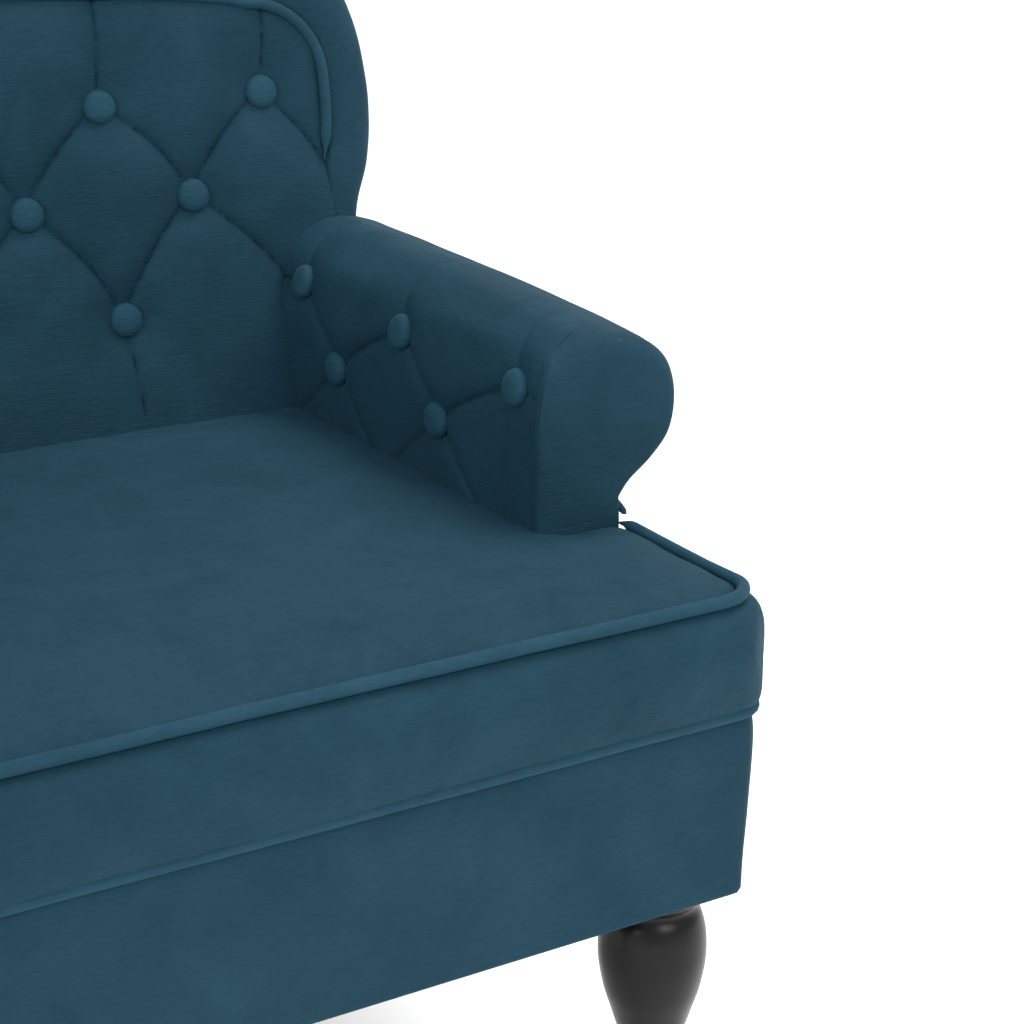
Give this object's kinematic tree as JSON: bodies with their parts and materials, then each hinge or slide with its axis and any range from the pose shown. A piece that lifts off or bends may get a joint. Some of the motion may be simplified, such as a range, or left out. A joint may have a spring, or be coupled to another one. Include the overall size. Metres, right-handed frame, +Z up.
{
  "type": "armchair",
  "caption": "Button-tufted upholstered armchair with rolled arms, a piped T-shaped seat, a curved back and turned screw-in feet.",
  "frame": {"origin": "on the floor, at the centre of the chair's footprint", "axes": "+Z up, -Y to the front, +X to the viewer's right when looking at the front"},
  "size_m": [0.7414, 0.639, 0.8],
  "materials": {
    "velvet": "velvet pile",
    "black_lacquered_wood": "black satin lacquer",
    "pine": "sawn",
    "plywood": "raw",
    "foam": "open-cell foam",
    "spring_steel": "oil tempered",
    "zinc_steel": "zinc plated",
    "cambric": "non-woven"
  },
  "bodies": {
    "chair": {"arm_button_left_1": "velvet", "arm_button_left_2": "velvet", "arm_button_left_3": "velvet", "arm_button_left_4": "velvet", "arm_button_left_5": "velvet", "arm_button_right_1": "velvet", "arm_button_right_2": "velvet", "arm_button_right_3": "velvet", "arm_button_right_4": "velvet", "arm_button_right_5": "velvet", "arm_cover_left": "velvet", "arm_cover_right": "velvet", "arm_facing_left": "velvet", "arm_facing_right": "velvet", "arm_foam_left": "foam", "arm_foam_right": "foam", "arm_frame_left": "plywood", "arm_frame_right": "plywood", "back_border": "velvet", "back_button_01": "velvet", "back_button_02": "velvet", "back_button_03": "velvet", "back_button_04": "velvet", "back_button_05": "velvet", "back_button_06": "velvet", "back_button_07": "velvet", "back_button_08": "velvet", "back_button_09": "velvet", "back_button_10": "velvet", "back_button_11": "velvet", "back_button_12": "velvet", "back_foam": "foam", "back_frame": "plywood", "back_tufted_cover": "velvet", "back_welt": "velvet", "base_cover": "velvet", "corner_block_left": "pine", "corner_block_right": "pine", "dust_cover": "cambric", "front_rail": "pine", "outside_arm_left": "velvet", "outside_arm_right": "velvet", "outside_back_cover": "velvet", "rear_rail": "pine", "seat_cover": "velvet", "seat_foam": "foam", "seat_lower_welt": "velvet", "seat_spring_unit": "spring_steel", "seat_top_welt": "velvet", "side_rail_left": "pine", "side_rail_right": "pine"},
    "foot_front_left": {"foot_front_left": "black_lacquered_wood", "hanger_bolt_front_left": "zinc_steel"},
    "foot_front_right": {"foot_front_right": "black_lacquered_wood", "hanger_bolt_front_right": "zinc_steel"},
    "foot_rear_left": {"foot_rear_left": "black_lacquered_wood", "hanger_bolt_rear_left": "zinc_steel"},
    "foot_rear_right": {"foot_rear_right": "black_lacquered_wood", "hanger_bolt_rear_right": "zinc_steel"}
  },
  "joints": [
    {"name": "foot_screw_front_left", "type": "hinge", "parent": "chair", "child": "foot_front_left", "pos_m": [-0.284, -0.255, 0.22], "axis": [0, 0, 1], "continuous": true},
    {"name": "foot_screw_front_right", "type": "hinge", "parent": "chair", "child": "foot_front_right", "pos_m": [0.284, -0.255, 0.22], "axis": [0, 0, 1], "continuous": true},
    {"name": "foot_screw_rear_left", "type": "hinge", "parent": "chair", "child": "foot_rear_left", "pos_m": [-0.284, 0.217, 0.22], "axis": [0, 0, 1], "continuous": true},
    {"name": "foot_screw_rear_right", "type": "hinge", "parent": "chair", "child": "foot_rear_right", "pos_m": [0.284, 0.217, 0.22], "axis": [0, 0, 1], "continuous": true}
  ]
}
